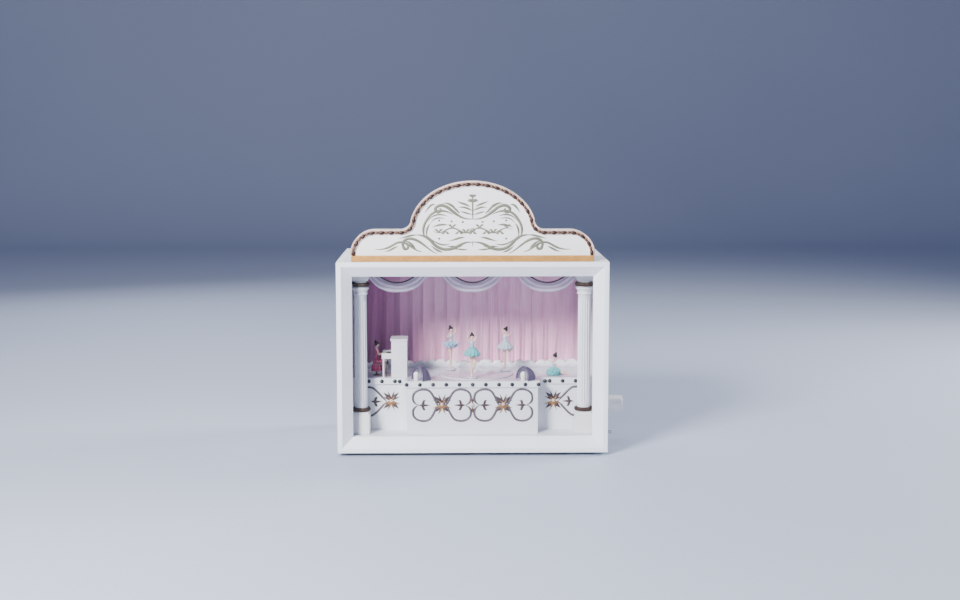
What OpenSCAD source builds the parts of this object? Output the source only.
// Ballet-theatre music box: a framed case with a stage, a turntable of three
// dancers that spin on planet pinions, and a spring movement wound from the side.
// Millimetres, +Z up, front towards -Y, origin under the middle of the case.

/* [Case] */
// Outside width of the case
case_w = 220; // [216:1:226]
// Outside depth of the case, front frame included
case_d = 138; // [138:1:146]
// Height of the case without its feet and sign
case_h = 156; // [154:1:162]
// Thickness of the case boards
board_t = 6; // [5.5:0.5:6]
// Thickness of the back panel
back_t = 3; // [2.5:0.5:3]
// Height of the felt feet
foot_h = 2.5; // [2:0.1:3]

/* [Front frame] */
// Width of the frame moulding seen from the front
frame_w = 12.3; // [11:0.1:13]
// Depth of the frame moulding
frame_d = 9; // [8.5:0.5:9]
// Width of the flat outer lip of the moulding
frame_lip = 4.5; // [3.5:0.1:5.5]
// Thickness of the glass pane
glass_t = 1.4; // [1:0.1:1.5]

/* [Sign] */
// Half-length of the gilded strip under the sign
sign_half = 98; // [96:1:102]
// Height of the gilded strip
sign_strip_h = 4.8; // [4:0.1:5.5]
// Height of the sign's shoulders above the strip
shoulder_h = 21; // [20:0.5:22]
// Half-width of the sign's middle arch
arch_half = 51; // [50:0.5:52]
// Rise of the middle arch above the shoulders
arch_rise = 39; // [37:0.5:41]
// Width of the beaded border
border_w = 4; // [3.5:0.1:4.5]
// Spacing of the beads along the border
bead_pitch = 7.9; // [7:0.1:9]

/* [Stage] */
// Height of the stage floor above the table
stage_top = 58.5; // [58:0.5:60]
// Half-width of the stage's middle block
block_half = 54; // [52:0.5:56]
// Radius of the hollow corners between the block and the wings
corner_r = 8; // [7:0.5:9]
// Spacing of the studs along the stage's edge
stud_pitch = 10.85; // [10:0.05:10.9]

/* [Columns] */
// Distance of the columns from the middle
column_x = 92; // [90:0.5:93]
// Radius of the column shafts
column_r = 5.2; // [4.5:0.1:5.5]

/* [Turntable] */
// Radius of the turntable
disc_r = 31; // [30:0.5:31]
// Radius of the circle that the dancers stand on
orbit_r = 27; // [26:0.5:27]
// Angle of the front dancer about the turntable's axis
front_angle = -98; // [-180:1:180]

/* [Movement] */
// Height of the winding axis above the table
axis_z = 32.4; // [32:0.1:32.6]
// Radius of the spring barrel
barrel_r = 13; // [13:0.1:13]
// Radius of the pinned cylinder
cylinder_r = 6.3; // [6:0.1:6.4]
// Number of comb teeth
comb_teeth = 18; // [12:1:18]
// Radius of the winding knob
knob_r = 7.5; // [6.5:0.1:8.5]
// Length of the winding knob
knob_l = 15.9; // [13:0.1:18]

/* [Hidden] */
$fn = 48;

// Colours
paint_white = [0.90, 0.91, 0.95];
gilt = [0.72, 0.55, 0.25];
bronze = [0.40, 0.30, 0.22];
brass = [0.80, 0.65, 0.35];
steel = [0.70, 0.71, 0.74];
skin = [0.93, 0.80, 0.72];
hair = [0.10, 0.08, 0.08];

// Case edges
half_w = case_w / 2;
front_y = -case_d / 2;
back_y = case_d / 2;
top_z = foot_h + case_h;
wall_x = half_w - board_t;
floor_z = foot_h + board_t;
roof_z = top_z - board_t;
box_front = front_y + frame_d;
box_back = back_y - back_t;
opening_z = foot_h + frame_w - 0.3;
pane_back = box_front + glass_t;
foot_inset = [15, 17];
foot_r = 7;
foot_places = concat([[0, 0]], [for (sx = [-1, 1], sy = [-1, 1])
  [sx * (half_w - foot_inset[0]), sy * (back_y - foot_inset[1])]]);

// Back screws go into the rear edges of the side boards
back_screw_r = 0.9;
back_screw_head_r = 1.8;
back_screw_head_h = 0.8;
back_screw_l = 9;
back_screw_places = [for (sx = [-1, 1], z = [0.12, 0.5, 0.88])
  [sx * (half_w - board_t / 2), foot_h + z * case_h]];

// Sign
sign_z = top_z + sign_strip_h;
sign_back = front_y + 16;
sign_front = front_y + 8;
shoulder_end = 79;
shoulder_end_r = 20;
hollow_r = 8;
arc_steps = 16;
bead_r = 1.4;
bead_l = 2;

// Stage: the block's front, the wings' front and the walls of the apron
block_y = front_y + 20;
wing_y = front_y + 37.5;
apron_t = 2;
stage_t = 3;
stage_back = 62;
strip_out = 1.5;
strip_h = 5.2;
strip_z = stage_top - 0.2;
stud_r = 1.6;
stud_z = strip_z - strip_h / 2;
scroll_t = 0.9;
scroll_z = (opening_z + strip_z - strip_h) / 2 + 4.5;

// Columns, measured up from the inner floor
column_y = front_y + 25;
pedestal_h = 18.3;
band_h = 3.6;
capital_z = 129.5;
capital_h = 6;
flutes = 12;

// Hangings
valance_y = column_y + 7.6;
valance_t = 2.5;
swag_places = [-62, 0, 62];
swag_half = [17, 26.5];
swag_low = [138.7, 130.5];
swag_rim = 146;
cord_w = 1.6;
curtain_y = 51;
curtain_half = 97;
curtain_top = 142;
fold_pitch = 8;
fold_depth = 1.6;
rail_r = 1.5;
row_y = 21;
row_t = 2.5;
row_wave = 9.5;

// Footlights
shell_r = 8.9;
shell_t = 0.9;
shell_x = 43.4;
shell_y = front_y + 26.5;
shell_turn = 35;
bulb_r = 2.2;
bulb_h = 7.4;
bulb_shift = [[-3, -3.4], [-1.6, -3.6]];

// Piano and its player
piano_x = -67.5;
piano_t = 13;
piano_y = -29;
piano_l = 20;
piano_h = 32;
keys_z = stage_top + 17;
keys_reach = 8;
key_count = 14;
player = [-80.5, -19];
stool_h = 10.5;

// Turntable and its planet gearing
table_x = 3.5;
table_y = front_y + 55;
disc_gap = 0.4;
disc_top = stage_top + 0.8;
disc_t = 2.5;
shaft_r = 1.5;
run_gap = 0.05;
sun_teeth = 48;
planet_teeth = 9;
planet_m = 2 * orbit_r / (sun_teeth + planet_teeth);
gear_t = 3;
gear_z = stage_top - 7;
spindle_r = 1;
bridge_z = stage_top - 13.5;
bridge_t = 2;
bridge_half = [46, 7];
bridge_post_x = 42;
bridge_post_r = 3;
figure_z = disc_top + 0.3;
figure_base_r = 4.2;
figure_base_h = 1.2;
dancer_angles = [front_angle, front_angle + 240, front_angle + 120];

// Crown wheel on the turntable's shaft, driven by the output shaft's pinion
drive_teeth = 12;
crown_teeth = 36;
crown_r = 13;
crown_face = 1.5;
drive_m = 2 * crown_r / crown_teeth;
drive_r = drive_m * drive_teeth / 2;
tooth_top = 0.75;
tooth_root = 0.95;
crown_top = 0.6;
crown_z = axis_z + drive_r + tooth_root * drive_m;
crown_t = 2.5;
crown_hub = [4, 3];

// Movement, on a bedplate against the right-hand wall
plate_t = 2.6;
plate_x = wall_x - plate_t;
plate_y = [-29, 37];
plate_z = [14, 52];
barrel_x = plate_x - 11.4;
barrel_l = 9.8;
barrel_wall = 1.2;
ring_r = 11.4;
ring_face = 1.6;
ring_m = 2 * ring_r / crown_teeth;
ring_pinion_r = ring_m * drive_teeth / 2;
cylinder_x = barrel_x - tooth_root * ring_m - ring_pinion_r;
cylinder_y = [2.2, 22.2];
cylinder_shaft_r = 1.2;
bracket_t = 1.2;
bracket_y = [0.2, 23, 34];
fly_m = 0.4;
fly_gear_teeth = 36;
fly_teeth = 9;
fly_z = axis_z + fly_m * (fly_gear_teeth + fly_teeth) / 2;
fly_gear_y = 24.8;
fly_gear_t = 1.6;
fly_shaft_r = 0.6;
fly_blade = [5.2, 0.5, 5.6];
comb_t = 1;
comb_rail_z = [plate_z[0], plate_z[0] + 5];
pin_r = 0.2;
pin_h = 0.5;
comb_tip_z = axis_z - cylinder_r - pin_h - 0.1;
arbor_r = 1.6;
arbor_end = 120.5;
knob_x = half_w + 1.5;
shaft_end = table_x + crown_r - crown_face - 0.4;
plate_screw_r = 1.2;
plate_screw_head_r = 2.2;
plate_screw_places = [for (y = [plate_y[0] + 4, plate_y[1] - 4],
                           z = [plate_z[0] + 4, plate_z[1] - 4]) [y, z]];
comb_screw_y = [7, 17.4];
comb_screw_z = comb_rail_z[0] + 2.5;

// Stop slide: a rod through the wall, with a wire that reaches the fly
stop_y = -24;
stop_z = 10.9;
stop_r = 1.5;
stop_wire_r = 0.9;
stop_travel = 3;
stop_tip_r = 1.9;
stop_tip_x = [half_w + stop_travel + 0.2, half_w + stop_travel + 4.6];
stop_bend = [96, 31];

// ---------------------------------------------------------------- helpers

// Block from a low corner to a high corner
module block(low, high) translate(low) cube(high - low);

// Stands a flat outline up, facing -Y: outline x, y become X, Z
module face_y(y) translate([0, y, 0]) rotate([90, 0, 0]) children();

// Turns a flat outline to face +X: outline x, y become Y, Z
module face_x(x) translate([x, 0, 0]) rotate([90, 0, 90]) children();

// Tapered rod between two points, with a round end
module limb(from, to, r1, r2) {
  v = to - from;
  turn = [0, acos(v[2] / norm(v)), atan2(v[1], v[0])];
  translate(from) rotate(turn) cylinder(h = norm(v), r1 = r1, r2 = r2, $fn = 24);
  translate(to) sphere(r = r2 * 1.12, $fn = 24);
}

// Chain of limbs through a list of points, tapering from r1 to r2
module chain(points, r1, r2) {
  last = len(points) - 2;
  for (i = [0:last]) {
    a = r1 + (r2 - r1) * i / (last + 1);
    b = r1 + (r2 - r1) * (i + 1) / (last + 1);
    limb(points[i], points[i + 1], a, b);
  }
}

// Spur wheel outline with straight-sided teeth, the first one on +X
module spur_outline(teeth, m) {
  r = teeth * m / 2;
  corners = [[-0.28, -tooth_root], [-0.12, tooth_top], [0.12, tooth_top], [0.28, -tooth_root]];
  polygon([for (i = [0:teeth - 1], c = corners)
    (r + c[1] * m) * [cos((i + c[0]) * 360 / teeth), sin((i + c[0]) * 360 / teeth)]]);
}

// Ring of face teeth pointing +Z from z = 0, the first one on +X
module crown_ring(teeth, m, r, face) {
  pitch = PI * m;
  for (i = [0:teeth - 1]) rotate([0, 0, i * 360 / teeth])
    face_x(r - face) linear_extrude(2 * face)
      polygon([[-0.25 * pitch, -0.2], [0.25 * pitch, -0.2],
               [0.13 * pitch, (tooth_root + crown_top) * m], [-0.13 * pitch, (tooth_root + crown_top) * m]]);
}

// ---------------------------------------------------------------- case

module case_bottom() color(paint_white)
  block([-wall_x, box_front, foot_h], [wall_x, box_back, floor_z]);

module case_top() color(paint_white)
  block([-wall_x, box_front, roof_z], [wall_x, box_back, top_z]);

module back_screw_shanks(x) for (p = back_screw_places) if (sign(p[0]) == sign(x))
  translate([p[0], box_back + 0.5, p[1]]) rotate([90, 0, 0]) cylinder(h = back_screw_l, r = back_screw_r);

module side_board(side) difference() {
  block([side > 0 ? wall_x : -half_w, box_front, foot_h],
        [side > 0 ? half_w : -wall_x, box_back, top_z]);
  back_screw_shanks(side);
}

module case_left() color(paint_white) side_board(-1);

module case_right() color(paint_white) difference() {
  side_board(1);
  face_x(wall_x - 1) translate([table_y, axis_z]) cylinder(h = board_t + 2, r = 2.5);
  face_x(wall_x - 1) translate([stop_y, stop_z]) cylinder(h = board_t + 2, r = stop_r + run_gap);
  for (p = plate_screw_places) face_x(wall_x - 1) translate(p) cylinder(h = 5, r = plate_screw_r);
}

module back_panel() color(paint_white) difference() {
  inset = 1;
  block([-half_w + inset, box_back, foot_h + inset], [half_w - inset, back_y, top_z - inset]);
  for (p = back_screw_places) translate([p[0], back_y + 1, p[1]]) rotate([90, 0, 0]) {
    cylinder(h = back_t + 2, r = back_screw_r);
    cylinder(h = 1 + back_screw_head_h, r = back_screw_head_r);
  }
}

module back_screws() color(steel) for (p = back_screw_places)
  translate([p[0], back_y, p[1]]) rotate([90, 0, 0]) {
    cylinder(h = back_screw_head_h, r = back_screw_head_r);
    cylinder(h = back_t + back_screw_l - 1, r = back_screw_r);
  }

// Moulding section: x runs inwards from the outer edge, y runs back from the front
module moulding_outline() polygon([
  [0, 0], [frame_lip - 0.6, 0], [frame_lip, 0.6],
  [frame_w, frame_d - 1.6], [frame_w, frame_d], [0, frame_d]]);

// Horizontal rail of a given length along its lower edge, mitred at both ends
module mitred_bar(length) intersection() {
  translate([-length / 2, front_y, 0]) rotate([90, 0, 90]) linear_extrude(length)
    mirror([1, -1]) moulding_outline();
  translate([0, back_y, 0]) rotate([90, 0, 0]) linear_extrude(case_d * 1.5)
    polygon([[-length / 2, 0], [length / 2, 0],
             [length / 2 - frame_w, frame_w], [-length / 2 + frame_w, frame_w]]);
}

module frame_rails() color(paint_white) {
  translate([0, 0, foot_h]) mitred_bar(case_w);
  translate([0, 0, top_z]) mirror([0, 0, 1]) mitred_bar(case_w);
}

module frame_stiles() color(paint_white) for (side = [0, 1]) mirror([side, 0, 0])
  translate([-half_w, 0, foot_h + case_h / 2]) rotate([0, 90, 0]) mitred_bar(case_h);

module glass_pane() color([0.85, 0.92, 0.95, 0.25]) {
  lap = 2.5;
  block([-half_w + frame_w - lap, box_front, foot_h + frame_w - lap],
        [half_w - frame_w + lap, pane_back, top_z - frame_w + lap]);
}

module foot_pads() color([0.35, 0.34, 0.36]) for (p = foot_places)
  translate([p[0], p[1], 0]) cylinder(h = foot_h, r = foot_r);

module inner_floor() color(paint_white) translate([0, 0, floor_z]) linear_extrude(opening_z - floor_z)
  difference() {
    translate([-wall_x, pane_back + 0.2]) square([2 * wall_x, wing_y - pane_back - 0.2]);
    stage_outline(0);
  }

// ---------------------------------------------------------------- sign

function arc(centre, a, b, from, to) =
  [for (i = [0:arc_steps]) let (t = from + (to - from) * i / arc_steps)
    [centre[0] + a * cos(t), centre[1] + b * sin(t)]];

// Right half of the sign's edge from its foot to its top, moved in by inset
function sign_half_edge(inset) = let (
  start = asin(hollow_r / (arch_rise - inset)),
  hollow_x = arch_half + hollow_r - 1)
  concat(
    arc([shoulder_end, 0], shoulder_end_r - inset, shoulder_h - inset, 0, 90),
    arc([hollow_x, shoulder_h + hollow_r], hollow_r + inset, hollow_r + inset, 270, 180),
    arc([0, shoulder_h], arch_half - inset, arch_rise - inset, start, 90));

function flip(points) = [for (i = [len(points) - 1:-1:0]) [-points[i][0], points[i][1]]];

function sign_edge(inset) = concat(sign_half_edge(inset), flip(sign_half_edge(inset)));

module sign_board() color([0.96, 0.96, 0.97]) face_y(sign_back) translate([0, sign_z])
  linear_extrude(sign_back - sign_front) polygon(sign_edge(0));

// Distance along a line of points up to each point
function run_to(points, i) = i == 0 ? 0 : norm(points[i] - points[i - 1]) + run_to(points, i - 1);

module sign_border() {
  foot_x = shoulder_end + shoulder_end_r - border_w;
  edge = sign_edge(border_w / 2);
  runs = [for (i = [0:len(edge) - 1]) run_to(edge, i)];
  last = len(edge) - 1;
  count = floor(runs[last] / bead_pitch);
  along_x = [for (i = [0:last]) [runs[i] + i * 0.0001, edge[i][0]]];
  along_z = [for (i = [0:last]) [runs[i] + i * 0.0001, edge[i][1]]];
  color([0.90, 0.84, 0.76]) face_y(sign_front) translate([0, sign_z]) linear_extrude(1.2) difference() {
    polygon(sign_edge(0));
    polygon(concat([[foot_x, -1]], sign_edge(border_w), [[-foot_x, -1]]));
  }
  color(bronze) for (i = [0:count - 1]) {
    s = (i + 0.5) * runs[last] / count;
    p = [lookup(s, along_x), lookup(s, along_z)];
    q = [lookup(s + 0.5, along_x), lookup(s + 0.5, along_z)];
    translate([p[0], sign_front - bead_r, sign_z + p[1]])
      rotate([0, -atan2(q[1] - p[1], q[0] - p[0]), 0]) {
        translate([-bead_l / 2, 0, 0]) rotate([0, 90, 0]) cylinder(h = bead_l, r = bead_r - 0.1, $fn = 24);
        for (end = [-1, 1]) translate([end * bead_l / 2, 0, 0]) sphere(r = bead_r, $fn = 24);
      }
  }
}

module sign_strip() color(gilt)
  block([-sign_half, front_y + 4, top_z], [sign_half, front_y + 20, sign_z]);

// ---------------------------------------------------------------- stage

// Plan of the stage, grown outwards at its front by grow
module stage_outline(grow) {
  centre_y = wing_y - corner_r;
  difference() {
    union() {
      translate([-wall_x, wing_y - grow]) square([2 * wall_x, stage_back - wing_y + grow]);
      translate([-block_half - grow, block_y - grow])
        square([2 * (block_half + grow), wing_y - block_y + grow + corner_r]);
      for (side = [0, 1]) mirror([side, 0])
        translate([block_half, centre_y]) square([corner_r, corner_r]);
    }
    for (side = [0, 1]) mirror([side, 0])
      translate([block_half + corner_r, centre_y]) circle(r = corner_r - grow);
  }
}

// Upright wall under the stage's front, with the overhanging edge strip
module apron_wall() {
  translate([0, 0, floor_z]) linear_extrude(stage_top - stage_t - floor_z) difference() {
    stage_outline(0);
    stage_outline(-apron_t);
    translate([-wall_x, wing_y + apron_t]) square([2 * wall_x, stage_back]);
  }
  translate([0, 0, strip_z - strip_h]) linear_extrude(strip_h) difference() {
    stage_outline(strip_out);
    stage_outline(0);
    translate([-wall_x, wing_y + apron_t]) square([2 * wall_x, stage_back]);
  }
}

module apron_center() color(paint_white) intersection() {
  apron_wall();
  block([-block_half - strip_out, block_y - strip_out, 0],
        [block_half + strip_out, block_y + apron_t, stage_top]);
}

module apron_wing() difference() {
  intersection() {
    apron_wall();
    block([0, block_y - strip_out, 0], [wall_x, stage_back, stage_top]);
  }
  block([-1, block_y - 2 * strip_out, -1], [block_half + 2 * strip_out, block_y + apron_t, stage_top + 1]);
}

module apron_right() color(paint_white) apron_wing();

module apron_left() color(paint_white) mirror([1, 0, 0]) apron_wing();

module stage_floor() color([0.88, 0.86, 0.93]) translate([0, 0, stage_top - stage_t])
  linear_extrude(stage_t) difference() {
    stage_outline(0);
    translate([table_x, table_y]) circle(r = disc_r + disc_gap, $fn = 96);
  }

// One motif of the gilded scrollwork: four open rings and a pointed cross
module scroll_motif(width, height) linear_extrude(scroll_t) {
  r = height / 4 + 0.3;
  line = 0.9;
  for (sx = [-1, 1], sy = [-1, 1]) translate([sx * width / 4, sy * (height / 2 - r)]) difference() {
    circle(r = r);
    circle(r = r - line);
  }
  for (turn = [45, 135]) rotate([0, 0, turn]) square([height * 0.62, 1.4], center = true);
}

module apron_scrolls() color(bronze) {
  for (x = [-38, 0, 38]) face_y(block_y) translate([x, scroll_z]) scroll_motif(30, 24);
  for (x = [-1, 1]) face_y(wing_y) translate([x * 79, scroll_z]) scroll_motif(24, 24);
}

module edge_studs() color(hair) {
  corner_turn = 27.5;
  stud_h = 0.8;
  corner_seat = sqrt(pow(corner_r - strip_out, 2) - stud_r * stud_r);
  for (i = [-5:5]) face_y(block_y - strip_out) translate([i * stud_pitch, stud_z])
    cylinder(h = stud_h, r = stud_r);
  for (side = [-1, 1]) {
    for (i = [0:2]) face_y(wing_y - strip_out)
      translate([side * (block_half + corner_r + 2.5 + i * stud_pitch), stud_z])
        cylinder(h = stud_h, r = stud_r);
    translate([side * (block_half + corner_r), wing_y - corner_r, stud_z])
      rotate([0, 0, 90 + side * corner_turn]) translate([corner_seat, 0, 0]) rotate([0, -90, 0])
        cylinder(h = stud_h, r = stud_r);
  }
}

// Low scalloped board across the back of the stage
module ground_row() color(paint_white) {
  count = floor(2 * curtain_half / row_wave);
  face_y(row_y + row_t) linear_extrude(row_t) intersection() {
    union() {
      translate([-curtain_half, stage_top]) square([2 * curtain_half, 3]);
      for (i = [0:count - 1]) translate([(i - (count - 1) / 2) * row_wave, stage_top + 2])
        circle(r = row_wave * 0.53);
    }
    translate([-curtain_half, stage_top]) square([2 * curtain_half, 10]);
  }
}

// ---------------------------------------------------------------- columns

module column() {
  pedestal_half = 7.2;
  shaft_z = opening_z + pedestal_h + band_h;
  block([-pedestal_half, -pedestal_half, opening_z], [pedestal_half, pedestal_half, opening_z + pedestal_h]);
  translate([0, 0, opening_z + pedestal_h]) cylinder(h = band_h, r = column_r);
  translate([0, 0, shaft_z]) difference() {
    cylinder(h = capital_z - shaft_z, r = column_r);
    for (i = [0:flutes - 1]) rotate([0, 0, i * 360 / flutes]) translate([column_r + 0.35, 0, 3])
      cylinder(h = capital_z - shaft_z - 6, r = 1, $fn = 16);
  }
  translate([0, 0, capital_z]) cylinder(h = capital_h, r1 = column_r + 0.4, r2 = column_r + 1.6);
  translate([0, 0, capital_z + capital_h]) cylinder(h = band_h + 3, r = column_r);
  block([-pedestal_half, -pedestal_half, capital_z + capital_h + band_h + 2],
        [pedestal_half, pedestal_half, roof_z]);
}

module columns() color(paint_white) for (side = [-1, 1]) translate([side * column_x, column_y, 0]) column();

module column_bands() color(gilt)
  for (side = [-1, 1], z = [opening_z + pedestal_h, capital_z + capital_h + 1])
  translate([side * column_x, column_y, z]) difference() {
    cylinder(h = band_h, r = column_r + 1.8);
    translate([0, 0, -1]) cylinder(h = band_h + 2, r = column_r);
  }

// ---------------------------------------------------------------- hangings

// Curve that hangs from z = high at +-half to z = low in the middle, carried on up to z = top
function sag(half, low, high, top, power) = let (reach = half * pow((top - low) / (high - low), 1 / power))
  [for (i = [-arc_steps:arc_steps]) let (u = reach * i / arc_steps)
    [u, low + (high - low) * pow(abs(u) / half, power)]];

function backwards(points) = [for (i = [len(points) - 1:-1:0]) points[i]];

// Three crescent swags; each has a cord along its upper edge
module swags(t) face_y(valance_y + t) linear_extrude(t) for (x = swag_places) translate([x, 0]) children();

module valance() color([0.86, 0.87, 0.93]) swags(valance_t)
  polygon(concat(sag(swag_half[1], swag_low[1], swag_rim, roof_z, 2.6),
                 backwards(sag(swag_half[0], swag_low[0], swag_rim, roof_z, 2))));

module valance_trim() color(bronze) translate([0, -1.2, 0]) swags(1.2) {
  upper = sag(swag_half[0], swag_low[0], swag_rim, roof_z - 1, 2);
  polygon(concat(upper, [for (p = backwards(upper)) p - [0, cord_w]]));
}

module curtain_rail() color(brass)
  face_x(-wall_x) translate([curtain_y, curtain_top + 3]) cylinder(h = 2 * wall_x, r = rail_r);

module backdrop_curtain() color([0.94, 0.66, 0.78]) translate([0, 0, stage_top + 0.3])
  linear_extrude(curtain_top - stage_top - 0.3) {
    count = floor(2 * curtain_half / fold_pitch);
    steps = count * 4;
    polygon(concat(
      [for (i = [0:steps])
        [-curtain_half + 2 * curtain_half * i / steps, curtain_y - 2 - fold_depth * sin(i * 90)]],
      [[curtain_half, curtain_y + 3], [-curtain_half, curtain_y + 3]]));
  }

// ---------------------------------------------------------------- footlights

module shell() intersection() {
  difference() {
    sphere(r = shell_r);
    sphere(r = shell_r - shell_t);
    rotate([0, 0, shell_turn]) translate([-30 - shell_r * 0.3, -30, -30]) cube([30, 60, 60]);
  }
  translate([-20, -20, 0]) cube(40);
}

module footlight_shells() color([0.42, 0.38, 0.46]) for (side = [-1, 1])
  translate([side * shell_x, shell_y, stage_top + 1.2]) {
    shell();
    translate([0, 0, -1.2]) difference() {
      cylinder(h = 1.2, r = shell_r);
      translate([0, 0, -1]) cylinder(h = 4, r = shell_r - shell_t);
    }
  }

module footlight_bulbs() color([0.97, 0.96, 0.92]) for (i = [0, 1])
  translate([(2 * i - 1) * shell_x + bulb_shift[i][0], shell_y + bulb_shift[i][1], stage_top]) {
    cylinder(h = bulb_h - bulb_r, r = bulb_r * 0.96);
    translate([0, 0, bulb_h - bulb_r]) sphere(r = bulb_r);
  }

// ---------------------------------------------------------------- piano and players

module piano_case() color(paint_white) {
  y1 = piano_y + piano_l;
  x1 = piano_x + piano_t;
  block([piano_x, piano_y, stage_top], [x1, y1, stage_top + piano_h - 1.2]);
  block([piano_x - 0.8, piano_y - 0.6, stage_top + piano_h - 1.2], [x1 + 0.4, y1 + 0.6, stage_top + piano_h]);
  block([piano_x - keys_reach, piano_y, keys_z - 1.6], [piano_x + 1, y1, keys_z]);
  for (y = [piano_y, y1 - 1.2]) {
    block([piano_x - keys_reach, y, keys_z - 1.6], [piano_x + 1, y + 1.2, keys_z + 3]);
    translate([piano_x - keys_reach + 1.4, y + 0.6, stage_top])
      cylinder(h = keys_z - stage_top - 1, r = 0.7, $fn = 24);
  }
}

module piano_keys() {
  low = piano_y + 1.5;
  pitch = (piano_l - 3) / key_count;
  reach = [piano_x - keys_reach + 1, piano_x - 0.4];
  color([0.95, 0.95, 0.92]) block([reach[0], low, keys_z], [reach[1], low + key_count * pitch, keys_z + 1.2]);
  color(hair) for (i = [1:key_count - 1]) if (i % 7 != 3 && i % 7 != 0)
    block([reach[0] + 2.6, low + i * pitch - 0.3, keys_z + 1],
          [reach[1], low + i * pitch + 0.3, keys_z + 1.9]);
}

module piano_stool() color([0.42, 0.33, 0.28]) translate([player[0], player[1], stage_top]) {
  translate([0, 0, stool_h - 2]) cylinder(h = 2, r = 3.6);
  cylinder(h = stool_h - 1, r = 1);
  cylinder(h = 1, r = 3);
}

module head(at) {
  color(skin) translate(at) sphere(r = 1.9, $fn = 32);
  color(hair) translate(at + [-0.5, 0, 0.5]) sphere(r = 1.85, $fn = 32);
  color(hair) translate(at + [-1.3, 0, 2]) sphere(r = 0.9, $fn = 24);
}

// Seated figure facing +X, hands over the keys
module pianist() translate([player[0], player[1], stage_top + stool_h]) {
  color([0.72, 0.20, 0.38]) {
    translate([0.4, 0, 0]) cylinder(h = 4, r1 = 3.9, r2 = 1.7, $fn = 32);
    translate([0.4, 0, 3.6]) cylinder(h = 8.4, r1 = 1.6, r2 = 2.1, $fn = 32);
    chain([[1.2, 0, 2.1], [6.4, 0, 1.8], [7, 0, -8.6]], 2, 1.7);
  }
  color(skin) {
    translate([0.4, 0, 12]) cylinder(h = 1.8, r = 0.8, $fn = 24);
    for (side = [-1, 1])
      chain([[0.6, side * 1.9, 11.6], [2.2, side * 2.9, 7.2], [6.6, side * 2.3, 8.9]], 0.8, 0.55);
  }
  head([0.5, 0, 15.4]);
}

// Standing figure on a round base, facing +X
module dancer(arms, leg, dress) {
  color([0.9, 0.9, 0.92]) difference() {
    cylinder(h = figure_base_h, r = figure_base_r);
    translate([0, 0, -1]) cylinder(h = 1 + figure_base_h / 2, r = spindle_r);
  }
  color(skin) {
    chain([[0, 0, figure_base_h - 0.2], [0, -0.3, 3.4], [0.1, -0.5, 12.4], [0, -0.7, 21.6]], 0.5, 1.5);
    chain(concat([[0, 0.7, 21.4]], leg), 1.35, 0.55);
    translate([0, 0, 30]) cylinder(h = 3.4, r = 0.75, $fn = 24);
    for (arm = arms) chain(arm, 0.8, 0.5);
  }
  color(dress) {
    translate([0, 0, 20.4]) cylinder(h = 1, r1 = 7, r2 = 7.3, $fn = 48);
    translate([0, 0, 21.4]) cylinder(h = 5, r1 = 7.3, r2 = 1.5, $fn = 48);
    translate([0, 0, 26]) cylinder(h = 5.2, r1 = 1.4, r2 = 2.05, $fn = 32);
  }
  head([0, 0, 34.6]);
}

module on_orbit(i)
  translate([table_x + orbit_r * cos(dancer_angles[i]), table_y + orbit_r * sin(dancer_angles[i]), 0])
  children();

// Planet pinion with its spindle, held under the turntable
module planet(i) color(brass) on_orbit(i) {
  translate([0, 0, gear_z]) rotate([0, 0, dancer_angles[i] + 180 + 180 / planet_teeth])
    linear_extrude(gear_t) spur_outline(planet_teeth, planet_m);
  translate([0, 0, gear_z]) cylinder(h = figure_z + figure_base_h / 2 - gear_z, r = spindle_r);
  translate([0, 0, gear_z + gear_t]) cylinder(h = 0.8, r = 2);
}

module front_spindle() planet(0);
module left_spindle() planet(1);
module right_spindle() planet(2);

module front_dancer() on_orbit(0) translate([0, 0, figure_z]) rotate([0, 0, -80]) dancer(
  arms = [[[0, 1.9, 30.4], [0.9, 4.2, 34.4], [0.5, 2.2, 39.2]],
          [[0, -1.9, 30.4], [0.9, -4.2, 34.4], [0.5, -2.2, 39.2]]],
  leg = [[1.6, 2.6, 13.6], [0.4, 0.6, 10]],
  dress = [0.55, 0.82, 0.86]);

module left_dancer() on_orbit(1) translate([0, 0, figure_z]) rotate([0, 0, -60]) dancer(
  arms = [[[0, 1.9, 30.4], [1.2, 4.6, 33.2], [0.8, 3, 38.4]],
          [[0, -1.9, 30.4], [1.4, -4.4, 29], [4.4, -3.4, 29.4]]],
  leg = [[-2.6, 1.6, 15], [-6.6, 1.2, 15.6]],
  dress = [0.70, 0.82, 0.93]);

module right_dancer() on_orbit(2) translate([0, 0, figure_z]) rotate([0, 0, -150]) dancer(
  arms = [[[0, 1.9, 30.4], [-0.5, 5, 31.4], [-1.1, 7.8, 33.5]],
          [[0, -1.9, 30.4], [0.7, -4.5, 33], [0.5, -3.8, 37.8]]],
  leg = [[-3.1, 1.6, 17], [-7.6, 2, 21.4]],
  dress = [0.84, 0.88, 0.95]);

// Figure on one knee, leaning over a stretched leg
module kneeling_dancer() translate([69, -19, stage_top]) {
  color([0.45, 0.78, 0.80]) {
    cylinder(h = 1.4, r1 = 6.4, r2 = 6.6, $fn = 48);
    translate([0, 0, 1.4]) cylinder(h = 4.4, r1 = 6.6, r2 = 1.7, $fn = 48);
    limb([0, 0, 5], [-0.2, 0, 11.4], 1.4, 1.9);
  }
  color(skin) {
    chain([[1, -1, 2], [6.4, -2.6, 2.2], [12.6, -3, 1.2]], 1.3, 0.7);
    limb([-0.2, 0, 11], [0.4, 0, 14.4], 0.8, 0.75);
    chain([[-0.8, 1.6, 10.6], [-4.2, 1.8, 11.6], [-7.4, 1, 14.4]], 0.75, 0.5);
    chain([[0, -1.8, 10.6], [2.6, -3.6, 8.8], [5, -4.2, 6.6]], 0.75, 0.5);
  }
  head([0.8, 0, 15.6]);
}

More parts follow.
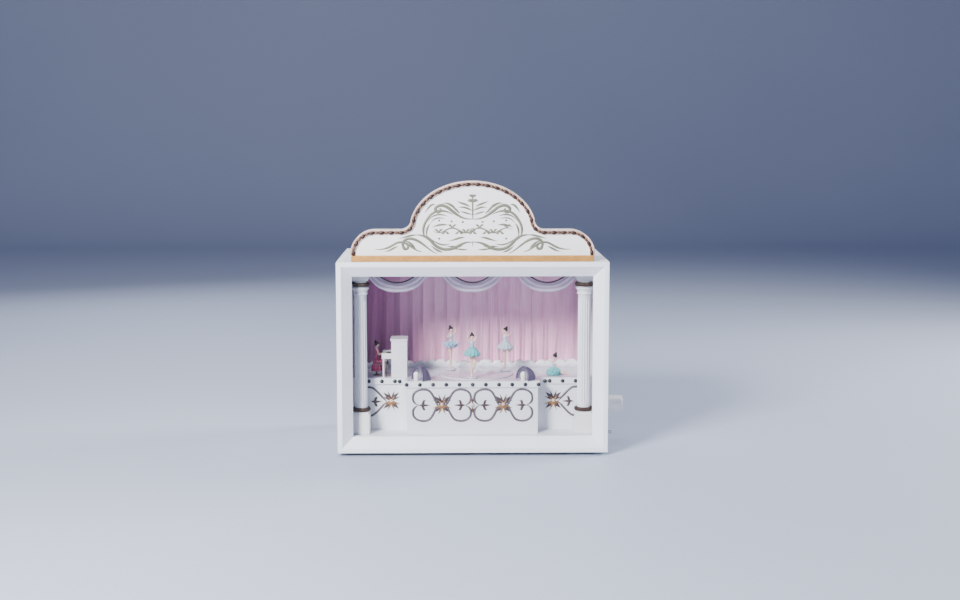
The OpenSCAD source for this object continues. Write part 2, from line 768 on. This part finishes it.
// ---------------------------------------------------------------- turntable

module turntable_disc() color([0.88, 0.86, 0.93])
  translate([table_x, table_y, disc_top - disc_t]) difference() {
  union() {
    cylinder(h = disc_t, r = disc_r, $fn = 96);
    translate([0, 0, -1.4]) cylinder(h = 2, r = 5);
  }
  translate([0, 0, -3]) cylinder(h = disc_t + 2, r = shaft_r);
  for (a = dancer_angles) rotate([0, 0, a]) translate([orbit_r, 0, -1])
    cylinder(h = disc_t + 2, r = spindle_r + run_gap);
}

module turntable_shaft() color(steel) translate([table_x, table_y, floor_z + 1 + run_gap])
  cylinder(h = disc_top - 1 - floor_z - 1 - run_gap, r = shaft_r);

module crown_wheel() color(brass) translate([table_x, table_y, crown_z]) difference() {
  union() {
    cylinder(h = crown_t, r = crown_r + crown_face + 0.2);
    translate([0, 0, crown_t]) cylinder(h = crown_hub[1], r = crown_hub[0]);
    mirror([0, 0, 1]) crown_ring(crown_teeth, drive_m, crown_r, crown_face);
  }
  translate([0, 0, -1]) cylinder(h = crown_t + crown_hub[1] + 2, r = shaft_r);
}

module sun_gear() color(brass) translate([table_x, table_y, 0]) difference() {
  union() {
    translate([0, 0, gear_z]) rotate([0, 0, front_angle]) linear_extrude(gear_t)
      spur_outline(sun_teeth, planet_m);
    translate([0, 0, bridge_z + bridge_t]) cylinder(h = gear_z - bridge_z, r = 6);
  }
  translate([0, 0, bridge_z]) cylinder(h = 20, r = shaft_r + run_gap);
}

module shaft_bridge() color(steel) translate([table_x, table_y, bridge_z]) difference() {
  union() {
    translate([-bridge_half[0], -bridge_half[1], 0]) cube([2 * bridge_half[0], 2 * bridge_half[1], bridge_t]);
    for (side = [-1, 1]) translate([side * bridge_post_x, 0, 0])
      cylinder(h = stage_top - stage_t - bridge_z, r = bridge_post_r);
  }
  translate([0, 0, -1]) cylinder(h = bridge_t + 2, r = shaft_r + run_gap);
}

module foot_bearing() color(brass) translate([table_x, table_y, floor_z]) difference() {
  cylinder(h = 4.5, r = 6);
  translate([0, 0, 1]) cylinder(h = 5, r = shaft_r + run_gap);
}

// ---------------------------------------------------------------- movement

module bedplate() color(brass) difference() {
  union() {
    block([plate_x, plate_y[0], plate_z[0]], [wall_x, plate_y[1], plate_z[1]]);
    block([cylinder_x + comb_t / 2, cylinder_y[0], comb_rail_z[0]],
          [plate_x + 1, cylinder_y[1], comb_rail_z[1]]);
  }
  face_x(plate_x - 1) translate([table_y, axis_z]) cylinder(h = plate_t + 2, r = arbor_r + run_gap);
  for (p = plate_screw_places) face_x(plate_x - 1) translate(p) cylinder(h = plate_t + 2, r = plate_screw_r);
  for (y = comb_screw_y) face_x(cylinder_x) translate([y, comb_screw_z]) cylinder(h = 6, r = 0.8);
}

module bedplate_screws() color(steel) for (p = plate_screw_places) {
  face_x(plate_x - 1.2) translate(p) cylinder(h = 1.2, r = plate_screw_head_r);
  face_x(plate_x - 0.2) translate(p) cylinder(h = plate_t + 4, r = plate_screw_r);
}

// Steel comb: teeth reach up to the pins from a plate screwed on the rail
module comb() color(steel) difference() {
  slot = 0.3;
  pitch = (cylinder_y[1] - cylinder_y[0]) / comb_teeth;
  block([cylinder_x - comb_t / 2, cylinder_y[0], comb_rail_z[0]],
        [cylinder_x + comb_t / 2, cylinder_y[1], comb_tip_z]);
  for (i = [1:comb_teeth - 1])
    translate([cylinder_x - comb_t, cylinder_y[0] + i * pitch - slot / 2, comb_rail_z[1]])
    cube([2 * comb_t, slot, 20]);
  for (y = comb_screw_y) face_x(cylinder_x - 1) translate([y, comb_screw_z]) cylinder(h = 2, r = 0.8);
}

module comb_screws() color(steel) for (y = comb_screw_y) {
  face_x(cylinder_x - comb_t / 2 - 0.8) translate([y, comb_screw_z]) cylinder(h = 0.8, r = 1.6);
  face_x(cylinder_x - comb_t / 2 - 0.2) translate([y, comb_screw_z]) cylinder(h = 6, r = 0.8);
}

module bracket(y, low, high, bores) difference() {
  block([cylinder_x - 4, y, low], [plate_x, y + bracket_t, high]);
  for (b = bores) translate([cylinder_x, y + bracket_t + 1, b[0]]) rotate([90, 0, 0])
    cylinder(h = bracket_t + 2, r = b[1] + run_gap);
}

module cylinder_brackets() color(brass) {
  bracket(bracket_y[0], axis_z - 5, axis_z + 5, [[axis_z, cylinder_shaft_r]]);
  bracket(bracket_y[1], axis_z - 5, fly_z + 4, [[axis_z, cylinder_shaft_r], [fly_z, fly_shaft_r]]);
  bracket(bracket_y[2], fly_z - 4, fly_z + 4, [[fly_z, fly_shaft_r]]);
}

// Pinned cylinder with its driving pinion and the wheel that drives the fly
module pin_cylinder() color(brass) translate([cylinder_x, 0, axis_z]) {
  pinion_y = table_y + ring_r - ring_face + 0.3;
  pinion_w = 2 * ring_face - 0.6;
  end_y = fly_gear_y + fly_gear_t;
  face_y(cylinder_y[1]) cylinder(h = cylinder_y[1] - cylinder_y[0], r = cylinder_r);
  face_y(end_y) cylinder(h = end_y - pinion_y, r = cylinder_shaft_r);
  face_y(pinion_y + pinion_w) rotate([0, 0, 180 / drive_teeth]) linear_extrude(pinion_w)
    spur_outline(drive_teeth, ring_m);
  face_y(end_y) linear_extrude(fly_gear_t) spur_outline(fly_gear_teeth, fly_m);
  for (i = [0:comb_teeth - 1], k = [0:2])
    translate([0, cylinder_y[0] + (i + 0.5) * (cylinder_y[1] - cylinder_y[0]) / comb_teeth, 0])
      rotate([0, (i * 67 + k * 113) % 360, 0]) translate([0, 0, cylinder_r - 0.3])
        cylinder(h = pin_h + 0.2, r = pin_r, $fn = 6);
}

module governor_fly() color(steel) translate([cylinder_x, 0, fly_z]) {
  end_y = bracket_y[2] + bracket_t;
  face_y(end_y) cylinder(h = end_y - bracket_y[1], r = fly_shaft_r);
  face_y(fly_gear_y + fly_gear_t) rotate([0, 0, 10]) linear_extrude(fly_gear_t)
    spur_outline(fly_teeth, fly_m);
  block([-fly_blade[1] / 2, bracket_y[2] - 0.8 - fly_blade[2], -fly_blade[0]],
        [fly_blade[1] / 2, bracket_y[2] - 0.8, fly_blade[0]]);
}

module spring_barrel() color(brass) translate([0, table_y, axis_z]) {
  face_x(barrel_x) difference() {
    cylinder(h = barrel_l, r = barrel_r);
    translate([0, 0, barrel_wall]) cylinder(h = barrel_l - 2 * barrel_wall, r = barrel_r - barrel_wall);
    translate([0, 0, -1]) cylinder(h = 3, r = shaft_r);
    translate([0, 0, 3]) cylinder(h = barrel_l, r = arbor_r + run_gap);
  }
  translate([barrel_x, 0, 0]) mirror([1, 0, 0]) rotate([90, 0, 90])
    crown_ring(crown_teeth, ring_m, ring_r, ring_face);
}

// Flat spiral strip wound inside the barrel
module mainspring() color(steel) translate([0, table_y, axis_z]) {
  turns = 6;
  steps = turns * 16;
  strip = 0.4;
  inner = arbor_r + 0.9;
  gap = (barrel_r - barrel_wall - strip - inner - 0.1) / turns;
  face_x(barrel_x + barrel_wall + 0.5) linear_extrude(barrel_l - 2 * barrel_wall - 1) polygon(concat(
    [for (i = [0:steps]) (inner + gap * i / 16) * [cos(i * 22.5), sin(i * 22.5)]],
    [for (i = [steps:-1:0]) (inner + strip + gap * i / 16) * [cos(i * 22.5), sin(i * 22.5)]]));
}

// Spindle from the barrel to the crown wheel, with its pinion cut on the end
module output_shaft() color(steel) translate([0, table_y, axis_z]) {
  face_x(shaft_end) cylinder(h = barrel_x + barrel_wall - shaft_end, r = shaft_r);
  face_x(table_x + crown_r - crown_face + 0.3) rotate([0, 0, 180 / drive_teeth])
    linear_extrude(2 * crown_face - 0.6) spur_outline(drive_teeth, drive_m);
}

module shaft_bracket() color(steel) difference() {
  x = table_x + crown_r + 8;
  union() {
    block([x, table_y - 5, floor_z], [x + 3, table_y + 5, axis_z + 5]);
    block([x, table_y - 9, floor_z], [x + 9, table_y + 9, floor_z + 2]);
  }
  face_x(x - 1) translate([table_y, axis_z]) cylinder(h = 5, r = shaft_r + run_gap);
}

module winding_arbor() color(steel) face_x(barrel_x + barrel_wall + 0.4) translate([table_y, axis_z])
  cylinder(h = arbor_end - barrel_x - barrel_wall - 0.4, r = arbor_r);

module winding_knob() color([0.93, 0.92, 0.90]) face_x(knob_x) translate([table_y, axis_z]) difference() {
  rotate_extrude() polygon([[0, 0], [knob_r - 0.6, 0], [knob_r, 0.6], [knob_r, knob_l - 1],
                            [knob_r - 1, knob_l], [0, knob_l]]);
  translate([0, 0, -1]) cylinder(h = arbor_end - knob_x + 1, r = arbor_r);
}

// Stop slide: rod with a black tip, and a bent wire whose end catches the fly
module stop_slide() {
  z = stop_z;
  color([0.06, 0.06, 0.07]) face_x(stop_tip_x[0]) translate([stop_y, z])
    cylinder(h = stop_tip_x[1] - stop_tip_x[0], r = stop_tip_r);
  color(steel) {
    face_x(stop_bend[0] - 1) translate([stop_y, z])
      cylinder(h = stop_tip_x[0] + 2 - stop_bend[0], r = stop_r);
    face_y(stop_bend[1]) translate([stop_bend[0], z]) cylinder(h = stop_bend[1] - stop_y, r = stop_wire_r);
    translate([stop_bend[0], stop_bend[1], z]) sphere(r = stop_wire_r * 1.15);
    translate([stop_bend[0], stop_bend[1], z]) cylinder(h = fly_z - z, r = stop_wire_r);
    translate([stop_bend[0], stop_bend[1], fly_z]) sphere(r = stop_wire_r * 1.15);
    face_x(cylinder_x + fly_blade[0] + 1) translate([stop_bend[1], fly_z])
      cylinder(h = stop_bend[0] - cylinder_x - fly_blade[0] - 1, r = stop_wire_r);
  }
}

case_bottom();
case_top();
case_left();
case_right();
back_panel();
back_screws();
frame_rails();
frame_stiles();
glass_pane();
foot_pads();
inner_floor();
sign_board();
sign_border();
sign_strip();
stage_floor();
apron_center();
apron_left();
apron_right();
apron_scrolls();
edge_studs();
ground_row();
columns();
column_bands();
valance();
valance_trim();
curtain_rail();
backdrop_curtain();
footlight_shells();
footlight_bulbs();
piano_case();
piano_keys();
piano_stool();
pianist();
kneeling_dancer();
turntable_disc();
turntable_shaft();
crown_wheel();
sun_gear();
shaft_bridge();
foot_bearing();
front_dancer();
front_spindle();
left_dancer();
left_spindle();
right_dancer();
right_spindle();
bedplate();
bedplate_screws();
comb();
comb_screws();
cylinder_brackets();
pin_cylinder();
governor_fly();
spring_barrel();
mainspring();
output_shaft();
shaft_bracket();
winding_arbor();
winding_knob();
stop_slide();
